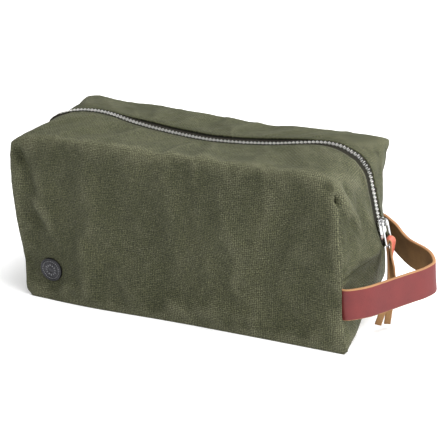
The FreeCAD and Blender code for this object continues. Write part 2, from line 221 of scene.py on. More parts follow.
def wall_grid(loop):
    """The wall's (x, z) grid that meets the loop on all four sides."""
    n, m = COLUMNS, ROWS
    bottom = loop[:n + 1]
    right = loop[n:n + m + 1]
    top = loop[n + m:2 * n + m + 1][::-1]
    left = np.vstack([loop[2 * n + m:], loop[:1]])[::-1]
    u = np.linspace(0, 1, n + 1)[:, None, None]
    v = ROW_PLACES[None, :, None]
    grid = (1 - v) * bottom[:, None] + v * top[:, None] + (1 - u) * left[None] + u * right[None]
    grid -= ((1 - u) * (1 - v) * bottom[0] + u * (1 - v) * bottom[-1] + (1 - u) * v * top[0]
             + u * v * top[-1])
    return grid


def wall_y(side, x, z):
    """The front wall bows out low down; the back one leans in, most at the handle end."""
    if side < 0:
        bow = 4.6 + 3.2 * np.exp(-((x + 80) / 60) ** 2)
        return -HALF_DEPTH - bow * ease(40, 0, z) + 1.0 * ease(90, 128, z)
    lean = (2 + 6 * ease(-90, 0, x) + 4 * ease(90, 126, x)) * ease(50, 121, z)
    return HALF_DEPTH - lean


def lip_offset(side, mid):
    """How far the canvas lip stays from the zip's centre line, all round the middle loop."""
    x, z = mid[:, 0], mid[:, 1]
    middle = ease(-85, -45, x) * ease(110, 60, x)
    if side < 0:
        gap = 3.4 + 3.0 * ease(75, 118, x)
    else:
        gap = 4.4 + 0.6 * middle + 1.6 * ease(112, 130, x)
    foot = np.where(x > 0, ZIP_FOOT_Z, ZIP_FOOT_LEFT_Z)
    return gap * ease(0, 6, z - foot)


def outward(loop):
    """Unit normal of a closed (x, z) loop, pointing out of the bag."""
    along = unit(np.roll(loop, -1, 0) - np.roll(loop, 1, 0))
    return np.stack([along[:, 1], -along[:, 0]], 1)


class Bag:
    """The whole canvas skin as one net: points, faces, and where each face belongs."""

    def __init__(self):
        self.points = []
        self.faces = []
        self.side = []
        self.uv = []
        self.rings = {}
        self.mid = perimeter(MID_RIGHT, MID_TOP, MID_LEFT)
        self.sway = look_up(ZIP_SWAY, self.mid[:, 0]) * ease(100, 118, self.mid[:, 1])
        self.normal = outward(self.mid)
        self.offset = {side: lip_offset(side, self.mid) for side in (-1, 1)}
        for side in (-1, 1):
            self.add_half(side)
        self.points = np.array(self.points)
        self.side = np.array(self.side)

    def add_half(self, side):
        """A wall's grid, and the rings from its edge to the middle of the bag."""
        edge = perimeter(*((EDGE_RIGHT, EDGE_TOP, EDGE_LEFT) if side < 0
                           else (BACK_RIGHT, BACK_TOP, BACK_LEFT)))
        grid = wall_grid(edge)
        wall = np.empty((COLUMNS + 1, ROWS + 1), int)
        for i in range(COLUMNS + 1):
            for j in range(ROWS + 1):
                wall[i, j] = len(self.points)
                x, z = grid[i, j]
                self.points.append((x, wall_y(side, x, z), z))
        rings = np.empty((len(edge), RINGS + 1), int)
        rings[:, 0] = np.concatenate([wall[:-1, 0], wall[-1, :-1], wall[:0:-1, -1],
                                      wall[0, :0:-1]])
        offset = self.offset[side]
        x, z = self.mid.T
        lift = CHAIN_LIFT + (2.6 * ease(-85, -40, x) * ease(105, 60, x) if side > 0 else 0)
        lift = lift - 1.7 * ease(-110, -128, x) * ease(90, 115, z)
        lip = self.mid + self.normal * (lift * ease(0, 3, offset))[:, None]
        for k in range(len(edge)):
            edge_y = wall_y(side, *edge[k])
            for r in range(1, RINGS + 1):
                q = r / RINGS
                curve = 0 if k <= COLUMNS else 0.25 if side > 0 and k < COLUMNS + ROWS else 1
                share = q + curve * (q * q * (3 - 2 * q) - q)
                if r == RINGS and side > 0 and offset[k] == 0:
                    rings[k, r] = self.rings[-1][k, r]
                    continue
                x, z = (1 - share) * edge[k] + share * lip[k]
                rings[k, r] = len(self.points)
                lip_y = self.sway[k] + side * offset[k]
                self.points.append((x, (1 - q) * edge_y + q * lip_y, z))
        self.rings[side] = rings
        self.add_faces(side, wall, rings)

    def add_faces(self, side, wall, rings):
        """Faces in skin order, with thread coordinates unrolled from the wall's plane."""
        faces = []
        kinds = []
        for i in range(COLUMNS):
            for j in range(ROWS):
                faces.append([wall[i, j], wall[i + 1, j], wall[i + 1, j + 1], wall[i, j + 1]])
                kinds.append("wall")
        count = len(rings)
        around = ["base"] * COLUMNS + ["right"] * ROWS + ["top"] * COLUMNS + ["left"] * ROWS
        for k, kind in enumerate(around):
            following = (k + 1) % count
            for r in range(RINGS):
                faces.append([rings[following, r], rings[k, r], rings[k, r + 1],
                              rings[following, r + 1]])
                kinds.append(kind)
        for face, kind in zip(faces, kinds):
            if side > 0:
                face = face[::-1]
            self.faces.append(face)
            self.side.append(side)
            for v in face:
                x, y, z = self.points[v]
                deep = HALF_DEPTH - abs(y)
                self.uv.append({"wall": (x, z), "top": (x, z + deep), "base": (x, z - deep),
                                "right": (x + deep, z), "left": (x - deep, z)}[kind])

    def lips(self):
        """Point numbers along both lips of the zip's slot."""
        return np.concatenate([self.rings[s][self.offset[s] > 0, -1] for s in (-1, 1)])


def neighbour_average(count, faces):
    """Function that gives the mean of each point's neighbours."""
    quads = np.array(faces)
    pairs = np.vstack([quads[:, [i, (i + 1) % 4]] for i in range(4)])
    pairs = np.unique(np.sort(pairs, 1), axis=0)
    degree = np.bincount(pairs.ravel(), minlength=count).astype(float)

    def average(values):
        table = values.reshape(count, -1)
        total = np.empty_like(table)
        for c in range(table.shape[1]):
            total[:, c] = (np.bincount(pairs[:, 0], table[pairs[:, 1], c], count)
                           + np.bincount(pairs[:, 1], table[pairs[:, 0], c], count))
        return (total / degree[:, None]).reshape(values.shape)

    return average


def vertex_normals(co, faces):
    quads = np.array(faces)
    across = np.cross(co[quads[:, 2]] - co[quads[:, 0]], co[quads[:, 3]] - co[quads[:, 1]])
    normals = np.zeros_like(co)
    for c in range(4):
        for axis in range(3):
            normals[:, axis] += np.bincount(quads[:, c], across[:, axis], len(co))
    return normals / np.maximum(np.linalg.norm(normals, axis=1), 1e-9)[:, None]


def soften(bag):
    """Rounds the long edges well, the sewn upright edges a little, and keeps the zip's lips."""
    average = neighbour_average(len(bag.points), bag.faces)
    weight = np.full(len(bag.points), 0.55)
    for side in (-1, 1):
        rings = bag.rings[side]
        loop = np.arange(len(rings))
        right = (loop >= COLUMNS) & (loop <= COLUMNS + ROWS)
        left = (loop >= 2 * COLUMNS + ROWS) | (loop == 0)
        high = ease(98, 124, bag.points[rings[:, 0], 2])
        weight[rings[right, 0]] = 0.05 + 0.25 * high[right]
        weight[rings[left, 0]] = 0.10 + 0.20 * high[left]
        weight[rings[right | left, 1]] = 0.3 + 0.25 * high[right | left]
        weight[rings[loop <= COLUMNS, 0]] = 0.02
        weight[rings[loop <= COLUMNS, 1]] = 0.3
        lip = bag.offset[side] > 0
        weight[rings[lip, -2]] = 0.1
    weight[bag.lips()] = 0
    for side in (-1, 1):
        for corner in (2 * COLUMNS + ROWS, COLUMNS + ROWS):
            weight[bag.rings[side][corner - 2:corner + 3, 0]] = 0.3
        for corner in (0, COLUMNS):
            weight[bag.rings[side][[corner - 1, corner, corner + 1], 0]] = 0.25
    for _ in range(18):
        bag.points = bag.points + weight[:, None] * (average(bag.points) - bag.points)


def near_segment(co, a, b):
    """Distance of every point to the segment, and its place along it from 0 to 1."""
    t = np.clip((co - a) @ (b - a) / ((b - a) @ (b - a)), 0, 1)
    return np.linalg.norm(co - (a + t[:, None] * (b - a)), axis=1), t


# Folds: start, end, half width, height (negative sinks); each fades at its two ends
FOLDS = [
    ((133.5, -50, 110), (138, -40, 74), 4.0, -1.4),
    ((131.0, -53.5, 119.5), (119, -51, 127), 4.0, -1.6),
    ((134, -45, 116), (140, -24, 78), 5.0, 2.6), ((136, -34, 104), (141, -17, 70), 4.5, -2.2),
    ((138, -22, 104), (142, -9, 76), 5.0, 1.4), ((129, -53.5, 121), (130.5, -53.5, 60), 3.6, 1.7),
    ((-131, -53.5, 121), (-129, -53.5, 108), 4.5, -2.8),
    ((-130, -53.5, 112), (-117, -53.5, 74), 7.0, -1.6),
    ((-122, -53.5, 84), (-100, -53.5, 50), 8.0, 1.1),
    ((-128, -53.5, 76), (-110, -53.5, 46), 7.0, -1.2),
    ((-130, -53.5, 36), (-120, -53.5, 8), 7.0, -2.2),
    ((-106, -53.5, 108), (-98, -53.5, 62), 7.0, -1.4),
    ((-88, -53.5, 50), (-62, -53.5, 12), 12.0, 1.6), ((131, 22, 58), (127, 22, 12), 15.0, 4.5),
    ((-20, -53.5, 8), (60, -53.5, 14), 6.0, 1.6), ((60, -53.5, 10), (118, -53.5, 20), 6.0, -1.2),
    ((-70, -53.5, 104), (-60, -53.5, 40), 16.0, 1.4),
    ((-30, -53.5, 110), (-10, -53.5, 30), 20.0, -1.4),
    ((35, -53.5, 110), (50, -53.5, 20), 20.0, 1.4), ((95, -53.5, 70), (128, -53.5, 26), 10.0, -1.2),
    ((84, -53.5, 92), (112, -53.5, 112), 8.0, -1.2), ((-20, -44, 130), (60, -46, 130), 7.0, 1.0),
    ((-90, -34, 131), (-50, -20, 129), 8.0, -1.2), ((60, -30, 128), (95, -38, 130), 7.0, -1.2),
    ((10, -24, 127), (40, -34, 128), 7.0, 1.0), ((128.5, 41, 119), (124, 44, 98), 5.0, -2.0),
    ((134, 18, 108), (132, 30, 74), 8.0, 1.2), ((-120, 50, 128), (-70, 42, 128), 9.0, -1.4),
    ((-60, 30, 128), (-20, 22, 128), 9.0, 1.2), ((0, 40, 126), (50, 30, 126), 10.0, -1.2),
    ((70, 26, 128), (110, 36, 127), 8.0, 1.0), ((-110, 53.5, 100), (-90, 53.5, 40), 12.0, -1.8),
    ((-60, 51, 90), (-30, 53.5, 30), 16.0, 1.6), ((10, 49, 100), (30, 53.5, 25), 16.0, -1.6),
    ((80, 47, 95), (105, 53.5, 30), 14.0, 1.4), ((-138, 20, 110), (-139, 28, 40), 10.0, -1.6),
    ((-138, -24, 100), (-138, -20, 30), 10.0, 1.4),
]

# The tight creases round the pinched top corners, pressed in after the cloth has settled
CREASES = [
    ((130.5, -53, 120), (133.0, -51.5, 108), 2.5, -7.0),
    ((133.4, -51, 113), (135.5, -49, 70), 2.3, -2.2),
    ((130.0, -47, 125), (138.4, -41, 88), 2.8, 2.4),
    ((131.4, -40.5, 124.5), (137.6, -35, 92), 2.5, -2.6),
    ((135.0, -43, 99), (138.0, -24, 70), 2.8, -2.2),
    ((138.0, -37, 102), (139.5, -17, 68), 3.0, 1.9),
    ((134.0, -28, 114), (138.6, -18, 84), 2.8, -1.2),
    ((-131, -53.5, 121), (-128, -53.5, 104), 3.0, -2.6),
    ((-128, -53.5, 112), (-119, -53.5, 78), 3.4, -1.2),
    ((-134, -53.5, 116), (-125, -53.5, 88), 3.4, 1.0),
    ((-125, -53.5, 92), (-108, -53.5, 58), 3.8, 1.1),
    ((-131, -53.5, 84), (-116, -53.5, 50), 4.0, -1.2), ((-30, -53.5, 20), (24, -53.5, 6), 3.4, 0.9),
    ((60, -53.5, 24), (110, -53.5, 10), 3.6, -0.9),
]


def fold_cloth(bag, held, folds):
    """Presses each fold into the cloth between the points nearest to its two ends."""
    normals = vertex_normals(bag.points, bag.faces)
    push = np.zeros(len(bag.points))
    for a, b, width, height in folds:
        a, b = (bag.points[np.argmin(np.linalg.norm(bag.points - end, axis=1))] for end in (a, b))
        distance, t = near_segment(bag.points, a, b)
        fade = ease(-0.05, 0.3, t) * ease(1.05, 0.6, t)
        push += height * fade * np.exp(-(distance / width) ** 2)
    bag.points = bag.points + normals * (push * held)[:, None]


def crumple(bag, held):
    """Soft uneven relief: broad waves, finer ridged creases and a slight pucker."""
    normals = vertex_normals(bag.points, bag.faces)
    push = np.empty(len(bag.points))
    for i, p in enumerate(bag.points):
        broad = noise.noise(Vector(p) * 0.020)
        middle = noise.noise(Vector(p) * 0.052 + Vector((7, 0, 0)))
        ridge = 1 - 2 * abs(noise.noise(Vector(p * (1, 1, 0.55)) * 0.042 + Vector((0, 9, 0))))
        fine = noise.noise(Vector(p) * 0.15 + Vector((0, 0, 5)))
        push[i] = 1.3 * broad + 0.5 * middle + 0.4 * max(ridge, 0) ** 4 + 0.13 * fine
    bag.points = bag.points + normals * (push * held)[:, None]


def seams(bag):
    """Sewn upright edges: a thin ridge with a valley beside it, on the end of the bag."""
    normals = vertex_normals(bag.points, bag.faces)
    for side in (-1, 1):
        rings = bag.rings[side]
        loop = np.arange(len(rings))
        on_end = ((loop > COLUMNS) & (loop < COLUMNS + ROWS)) | (loop > 2 * COLUMNS + ROWS)
        fade = ease(119, 110, bag.points[rings[:, 0], 2]) * on_end
        fade = fade * np.where(bag.points[rings[:, 0], 0] > 0, 1.0, 0.35)
        for ring, push in ((0, 0.8), (1, -1.0), (2, -0.4)):
            numbers = rings[on_end, ring]
            bag.points[numbers] += normals[numbers] * (push * fade[on_end])[:, None]


def end_seam(bag):
    """The upper part of each end hangs over the level seam, and the lower part tucks in."""
    co = bag.points
    span = np.clip(1 - np.abs(co[:, 1]) / HALF_DEPTH, 0, 1)
    above = co[:, 2] - (SEAM_Z + SEAM_ARCH * span)
    for sign, amount in ((1, 1.0), (-1, 0.8)):
        on_end = ease(108, 118, sign * co[:, 0]) * ease(0.02, 0.12, span) * amount
        puff = 1.7 * ease(-0.1, 0.9, above) * ease(26, 3, above)
        tuck = -0.9 * np.exp(-((above + 0.9) / 1.1) ** 2)
        co[:, 0] += sign * on_end * (puff + tuck)


def held_places(bag):
    """1 where the cloth may move freely, 0 at the zip's lips, the base and the badge."""
    held = ease(0.5, 7, bag.points[:, 2]) * 0.95 + 0.05
    held *= ease(BADGE_R, BADGE_R + 7, np.linalg.norm(bag.points - BADGE_AT, axis=1))
    for side in (-1, 1):
        lip = bag.offset[side] > 0
        for ring, share in ((-2, 0.25), (-3, 0.6)):
            held[bag.rings[side][lip, ring]] *= share
    held[bag.lips()] = 0
    return held


def pinned(bag, held):
    """How free each place is in the simulation: seams and the base hold, and so does the zip."""
    free = held.copy()
    for side in (-1, 1):
        rings = bag.rings[side]
        loop = np.arange(len(rings))
        upright = (loop % (COLUMNS + ROWS) >= COLUMNS) & (bag.points[rings[:, 0], 2] < 112)
        free[rings[upright, 0]] *= 0.25
        free[rings[loop <= COLUMNS, 0]] = 0.0
    free *= ease(1.0, 4.0, bag.points[:, 2])
    return free


SIM_FRAMES = 14
SIM_SCALE = 10.0                    # the solver is steadier on a larger cloth
SIM_GROWTH = 0.012                  # how much too large the cloth is, so that it buckles
SIM_LET_GO = 0.9                    # how far a free place lets go of its pin
SIM_SETTINGS = {"quality": 5, "mass": 0.4, "tension_stiffness": 25, "compression_stiffness": 25,
                "shear_stiffness": 12, "bending_stiffness": 6.0, "tension_damping": 12,
                "compression_damping": 12, "shear_damping": 12, "bending_damping": 2,
                "air_damping": 4, "shrink_min": -SIM_GROWTH, "shrink_max": -SIM_GROWTH,
                "vertex_group_mass": "pins", "pin_stiffness": 1.0}


def settle(bag, free):
    """Lets the cloth, cut a little too large, buckle between its seams as real canvas does."""
    obj = make_object("settling", bag.points * SIM_SCALE, bag.faces, [])
    pins = obj.vertex_groups.new(name="pins")
    for v, share in enumerate(free):
        pins.add([v], float(1 - SIM_LET_GO * share), "REPLACE")
    simulation = obj.modifiers.new("cloth", "CLOTH")
    for name, value in SIM_SETTINGS.items():
        setattr(simulation.settings, name, value)
    simulation.settings.effector_weights.gravity = 0.0
    simulation.collision_settings.use_collision = False
    simulation.point_cache.frame_start = 1
    simulation.point_cache.frame_end = SIM_FRAMES
    for step in range(1, SIM_FRAMES + 1):
        bpy.context.scene.frame_set(step)
    settled = obj.evaluated_get(bpy.context.evaluated_depsgraph_get()).data
    points = np.empty(len(settled.vertices) * 3)
    settled.vertices.foreach_get("co", points)
    bag.points = points.reshape(-1, 3) / MM / SIM_SCALE
    bpy.context.scene.frame_set(1)
    mesh = obj.data
    bpy.data.objects.remove(obj)
    bpy.data.meshes.remove(mesh)


def shaped_bag():
    """The canvas skin, folded, settled, creased, and pressed flat under the badge."""
    bag = Bag()
    soften(bag)
    held = held_places(bag)
    fold_cloth(bag, held, FOLDS)
    crumple(bag, held)
    settle(bag, pinned(bag, held))
    fold_cloth(bag, held, CREASES)
    seams(bag)
    end_seam(bag)
    press = ease(BADGE_R + 8, BADGE_R - 1, np.linalg.norm(bag.points - BADGE_AT, axis=1))
    bag.points[:, 1] += press * (-HALF_DEPTH - bag.points[:, 1])
    bag.points[:, 2] = np.maximum(bag.points[:, 2] - 0.1, 0.05)
    return bag


def wear_map(bag, normals):
    """How much each place stands proud of the cloth round it, so that it rubs pale."""
    average = neighbour_average(len(bag.points), bag.faces)
    blurred = bag.points
    for _ in range(5):
        blurred = average(blurred)
    stands = np.einsum("ij,ij->i", bag.points - blurred, normals)
    for _ in range(2):
        stands = average(stands)
    return stands


# ---------------------------------------------------------------- materials

def set_inputs(tree, made, inputs):
    """Links each input that is given a socket, and sets the others to their value."""
    for key, value in inputs.items():
        socket = made.inputs[key]
        if isinstance(value, bpy.types.NodeSocket):
            tree.links.new(value, socket)
        else:
            socket.default_value = value


def node(tree, kind, inputs=None, **settings):
    made = tree.nodes.new(kind)
    for key, value in settings.items():
        setattr(made, key, value)
    set_inputs(tree, made, inputs or {})
    return made


def new_material(name):
    """A node material, with its tree, its shader, and its object coordinates in metres."""
    material = bpy.data.materials.new(name)
    material.use_nodes = True
    tree = material.node_tree
    place = node(tree, "ShaderNodeTexCoord").outputs["Object"]
    return material, tree, tree.nodes["Principled BSDF"], place


def ramp(tree, factor, stops):
    made = node(tree, "ShaderNodeValToRGB", {"Fac": factor})
    elements = made.color_ramp.elements
    while len(elements) < len(stops):
        elements.new(0.5)
    for element, (place, colour) in zip(elements, stops):
        element.position = place
        element.color = (*colour, 1)
    return made.outputs["Color"]


def mix(tree, factor, a, b):
    """Blends two colours, each a socket or three numbers."""
    a, b = ((*c, 1) if isinstance(c, tuple) else c for c in (a, b))
    return node(tree, "ShaderNodeMix", {0: factor, 6: a, 7: b}, data_type="RGBA").outputs[2]


def maths(tree, operation, a, b=0.0, clamp=False):
    return node(tree, "ShaderNodeMath", {0: a, 1: b}, operation=operation,
                use_clamp=clamp).outputs[0]


def scaled(tree, source, scale):
    return node(tree, "ShaderNodeMapping", {"Vector": source, "Scale": scale}).outputs["Vector"]


def noise_value(tree, vector, scale, detail=2.0, roughness=0.5):
    return node(tree, "ShaderNodeTexNoise", {"Vector": vector, "Scale": scale, "Detail": detail,
                                             "Roughness": roughness}).outputs["Fac"]


def ramp_value(tree, value, low, high, top, bottom=0.0):
    return node(tree, "ShaderNodeMapRange",
                {"Value": value, "From Min": low, "From Max": high, "To Min": bottom,
                 "To Max": top}).outputs["Result"]


def bump(tree, height, strength, distance):
    return node(tree, "ShaderNodeBump", {"Height": height, "Strength": strength,
                                         "Distance": distance}).outputs["Normal"]


def thread_lines(tree):
    """Coordinates along and across the cloth's threads, in metres."""
    return node(tree, "ShaderNodeUVMap", uv_map="thread").outputs["UV"]


def weave_height(tree, thread, pitch):
    """Plain weave: two crossing sets of rounded threads that pass over each other in turn."""
    scale = math.pi / pitch
    split = node(tree, "ShaderNodeSeparateXYZ", {"Vector": scaled(tree, thread, (scale,) * 3)})
    waves = [maths(tree, "SINE", split.outputs[axis]) for axis in ("X", "Y")]
    warp, weft = (maths(tree, "ABSOLUTE", wave) for wave in waves)
    over = maths(tree, "GREATER_THAN", maths(tree, "MULTIPLY", *waves), 0.0)
    under = maths(tree, "SUBTRACT", 1.0, over)
    return maths(tree, "ADD", maths(tree, "MULTIPLY", warp, over),
                 maths(tree, "MULTIPLY", weft, under))


CANVAS_PITCH = 0.00135              # metres from one canvas thread to the next


def canvas_material():
    """Waxed canvas: woven with painted shade between its threads, clouded, streaked along its
    threads, and rubbed pale where it stands.
    """
    material, tree, shader, place = new_material("waxed_canvas")
    thread = thread_lines(tree)
    wear = node(tree, "ShaderNodeAttribute", attribute_name="wear").outputs["Fac"]
    weave = weave_height(tree, thread, CANVAS_PITCH)
    grain = noise_value(tree, scaled(tree, thread, (1250, 850, 1)), 1.0, 1.0, 0.5)
    streak = noise_value(tree, scaled(tree, thread, (780, 130, 1)), 1.0, 2.0, 0.6)
    slub = noise_value(tree, scaled(tree, thread, (150, 800, 1)), 1.0, 2.0, 0.6)
    cloud = noise_value(tree, scaled(tree, place, (1, 1, 0.7)), 22.0, 5.0, 0.66)
    patch = noise_value(tree, place, 62.0, 3.0, 0.6)
    pale = maths(tree, "MULTIPLY", wear, maths(tree, "MULTIPLY", patch, 0.55), clamp=True)
    # painted shade: the dips between the threads are darkened nearly to black, as if in shadow
    painted_gap_shade = maths(tree, "MULTIPLY", maths(tree, "SUBTRACT", 1.0, weave), 1.1, clamp=True)
    base = ramp(tree, cloud, [(0.30, (0.060, 0.063, 0.030)), (0.5, (0.080, 0.084, 0.041)),
                              (0.70, (0.110, 0.111, 0.055))])
    for factor, colour in ((ramp_value(tree, patch, 0.45, 0.75, 0.5), (0.125, 0.125, 0.075)),
                           (ramp_value(tree, streak, 0.35, 0.72, 0.65), (0.034, 0.036, 0.019)),
                           (ramp_value(tree, slub, 0.5, 0.8, 0.4), (0.175, 0.172, 0.115)),
                           (pale, (0.245, 0.240, 0.150)), (painted_gap_shade, (0.016, 0.017, 0.009))):
        base = mix(tree, factor, base, colour)
    shade = ramp_value(tree, grain, 0.3, 0.7, 1.55, 0.45)
    base = node(tree, "ShaderNodeVectorMath", {0: base, "Scale": shade}, operation="SCALE")
    height = maths(tree, "ADD", weave, maths(tree, "MULTIPLY", streak, 0.8))
    set_inputs(tree, shader, {
        "Base Color": base.outputs["Vector"], "Normal": bump(tree, height, 0.6, 0.0004),
        "Roughness": maths(tree, "SUBTRACT", 0.86, maths(tree, "MULTIPLY", cloud, 0.3)),
        "Specular IOR Level": 0.2})
    return material


def woven_material(name, pitch, share, dark, light, relief, roughness, specular):
    """Plain woven cloth with painted shade between its threads; relief is the bump's strength and
    depth.
    """
    material, tree, shader, _ = new_material(name)
    weave = weave_height(tree, thread_lines(tree), pitch)
    # painted shade: the colour runs from dark in the dips between the threads to light on their
    # tops
    set_inputs(tree, shader, {
        "Base Color": mix(tree, maths(tree, "MULTIPLY", weave, share), dark, light),
        "Normal": bump(tree, weave, *relief), "Roughness": roughness,
        "Specular IOR Level": specular})
    return material


def metal_material(name, light, dark, roughness):
    """Worn plated metal with fine upright scratches."""
    material, tree, shader, place = new_material(name)
    cloud = noise_value(tree, place, 420.0, 3.0)
    fine = noise_value(tree, scaled(tree, place, (1, 1, 0.2)), 2600.0)
    set_inputs(tree, shader, {
        "Base Color": mix(tree, cloud, dark, light), "Metallic": 1.0,
        "Roughness": maths(tree, "ADD", roughness, maths(tree, "MULTIPLY", fine, 0.2)),
        "Normal": bump(tree, fine, 0.12, 0.00005)})
    return material


def leather_material(name, low, high, grain, strength, roughness):
    """Leather with cells of a given fineness, low and high being its two colours."""
    material, tree, shader, place = new_material(name)
    cloud = noise_value(tree, place, 55.0, 4.0, 0.6)
    cells = node(tree, "ShaderNodeTexVoronoi", {"Vector": place, "Scale": grain},
                 feature="SMOOTH_F1").outputs["Distance"]
    fibre = noise_value(tree, place, grain * 1.7, 3.0, 0.7)
    colour = mix(tree, ramp_value(tree, cloud, 0.3, 0.7, 1.0), low, high)
    colour = mix(tree, maths(tree, "MULTIPLY", fibre, 0.35), colour, tuple(c * 0.55 for c in low))
    height = maths(tree, "ADD", cells, maths(tree, "MULTIPLY", fibre, 0.6))
    set_inputs(tree, shader, {
        "Base Color": colour, "Normal": bump(tree, height, strength, 0.0003),
        "Roughness": maths(tree, "ADD", roughness, maths(tree, "MULTIPLY", cloud, 0.2)),
        "Specular IOR Level": 0.4})
    return material


def thread_material():
    material, tree, shader, place = new_material("sewing_thread")
    twist = noise_value(tree, place, 1800.0)
    set_inputs(tree, shader, {
        "Base Color": mix(tree, twist, (0.028, 0.029, 0.016), (0.075, 0.077, 0.045)),
        "Normal": bump(tree, twist, 0.4, 0.0001), "Roughness": 0.7})
    return material


CANVAS = canvas_material()
LINING = woven_material("lining_cloth", 0.0006, 0.5, (0.13, 0.12, 0.095), (0.22, 0.21, 0.17),
                        (0.3, 0.0002), 0.9, 0.5)
# zip tape colours: partly the tape's own dark colour, partly painted shade from the chain beside it
TAPE_WITH_PAINTED_SHADE = woven_material("zip_tape", 0.0007, 1.0, (0.006, 0.006, 0.005), (0.030, 0.028, 0.022),
                      (0.5, 0.0003), 0.95, 0.05)
NICKEL = metal_material("zip_nickel", (0.97, 0.96, 0.92), (0.70, 0.69, 0.66), 0.25)
SLIDER_NICKEL = metal_material("slider_nickel", (0.72, 0.72, 0.72), (0.42, 0.42, 0.43), 0.15)
GUNMETAL = metal_material("badge_metal", (0.075, 0.075, 0.08), (0.03, 0.03, 0.034), 0.3)
# lighter metal on the badge's raised beads and rays: partly metal rubbed bright, partly a painted
# highlight
RAISED_WEAR_AND_HIGHLIGHT = metal_material("badge_raised_metal", (0.34, 0.34, 0.35), (0.16, 0.16, 0.17), 0.22)
THREAD = thread_material()
GRAIN, FLESH, CUT_EDGE, PULL_GRAIN, PULL_FLESH = (leather_material(*look) for look in (
    ("strap_grain", (0.120, 0.011, 0.011), (0.168, 0.020, 0.019), 900.0, 0.18, 0.45),
    ("strap_flesh", (0.19, 0.100, 0.038), (0.32, 0.18, 0.072), 1400.0, 0.5, 0.8),
    ("strap_edge", (0.29, 0.135, 0.055), (0.39, 0.205, 0.09), 1500.0, 0.35, 0.6),
    ("pull_grain", (0.40, 0.075, 0.045), (0.52, 0.13, 0.08), 1100.0, 0.15, 0.4),
    ("pull_flesh", (0.20, 0.10, 0.035), (0.34, 0.19, 0.075), 1600.0, 0.5, 0.75)))


# ---------------------------------------------------------------- cloth pieces

WORD = {-1: "front", 1: "back"}


def bend_with_mouth(obj):
    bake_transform(obj)


def layer(bag, side, normals, outer, inner, rings_kept, name, material, wear=None):
    """One half of a cloth layer with real thickness, between two depths below the skin."""
    chosen = np.flatnonzero(bag.side == side)
    dropped = set()
    if rings_kept < RINGS:
        lip = bag.offset[side] > 0
        dropped = set(bag.rings[side][lip, rings_kept + 1:].ravel())
    chosen = [f for f in chosen if not dropped.intersection(bag.faces[f])]
    used = sorted({v for f in chosen for v in bag.faces[f]})
    number = {v: i for i, v in enumerate(used)}
    outside = bag.points[used] - normals[used] * outer
    inside = bag.points[used] - normals[used] * inner
    count = len(used)
    faces = [[number[v] for v in bag.faces[f]] for f in chosen]
    uv_quads = np.array(bag.uv).reshape(-1, 4, 2)
    uv = [c for f in chosen for c in uv_quads[f]]
    borders = {}
    for f, face in zip(chosen, faces):
        for c in range(4):
            edge = (face[c], face[(c + 1) % 4])
            if borders.pop(edge[::-1], None) is None:
                borders[edge] = (uv_quads[f][c], uv_quads[f][(c + 1) % 4])
    rims = []
    for (a, b), (uv_a, uv_b) in borders.items():
        rims.append([b, a, a + count, b + count])
        uv += [uv_b, uv_a, uv_a, uv_b]
    lining = [[v + count for v in face[::-1]] for face in faces]
    uv += [c for f in chosen for c in uv_quads[f][::-1]]
    obj = make_object(name, np.vstack([outside, inside]), faces + rims + lining, [material], uv=uv)
    if wear is not None:
        attribute = obj.data.attributes.new("wear", "FLOAT", "POINT")
        both = np.concatenate([wear[used], np.zeros(count)])
        attribute.data.foreach_set("value", both.astype(np.float32))
    bend_with_mouth(obj)
    return obj


def cloth(bag, normals):
    stands = wear_map(bag, normals)
    worn = np.clip((stands - 0.08) / 0.45, 0, 1)
    for side in (-1, 1):
        word = WORD[side]
        canvas = layer(bag, side, normals, 0, CLOTH, RINGS, word + "_canvas", CANVAS, worn)
        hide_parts(word + "_canvas_upper", word + "_canvas_lower")
        lining = layer(bag, side, normals, CLOTH + 0.15, CLOTH + 0.65, RINGS - 3,
                       word + "_lining", LINING)
        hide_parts(word + "_lining_upper", word + "_lining_lower")


STITCH_LENGTH = 2.3
THREAD_RADIUS = 0.24
# One stitch: share of its length, lift in thread radii, and thickness
STITCH_STATIONS = ((0, -0.9, 0.5), (0.12, 0.1, 0.9), (0.5, 0.35, 1.0), (0.88, 0.1, 0.9),
                   (1, -0.9, 0.5))


def stitches(name, points, normals, pitch):
    """A row of short thread stitches along points that lie on the cloth."""
    points = np.array(points)
    steps = lengths(points)
    vertices = []
    faces = []
    sides = 6
    for start in np.arange(pitch / 2, steps[-1] - pitch, pitch):
        faces += tube_faces(len(vertices), sides, len(STITCH_STATIONS))
        for share, lift, fat in STITCH_STATIONS:
            place = start + share * STITCH_LENGTH
            here = sample(steps, points, place)
            ahead = sample(steps, points, place + 0.2) - here
            ahead /= max(np.linalg.norm(ahead), 1e-9)
            up = sample(steps, normals, place)
            across = np.cross(ahead, up)
            centre = here + up * (lift * THREAD_RADIUS)
            for c in range(sides):
                turn = 2 * math.pi * c / sides
                ring = across * math.cos(turn) + up * math.sin(turn)
                vertices.append(centre + ring * THREAD_RADIUS * fat)
    return make_object(name, vertices, faces, [THREAD])


def lip_stitching(bag, normals):
    """The row of stitches that holds the canvas to the zip tape, round each lip."""
    for side in (-1, 1):
        rings = bag.rings[side][bag.offset[side] > 2.5]
        lip = bag.points[rings[:, -1]]
        points = lip + unit(bag.points[rings[:, -2]] - lip) * 2.4
        row = stitches(WORD[side] + "_lip_stitches", points, normals[rings[:, -2]], 3.3)
        bend_with_mouth(row)


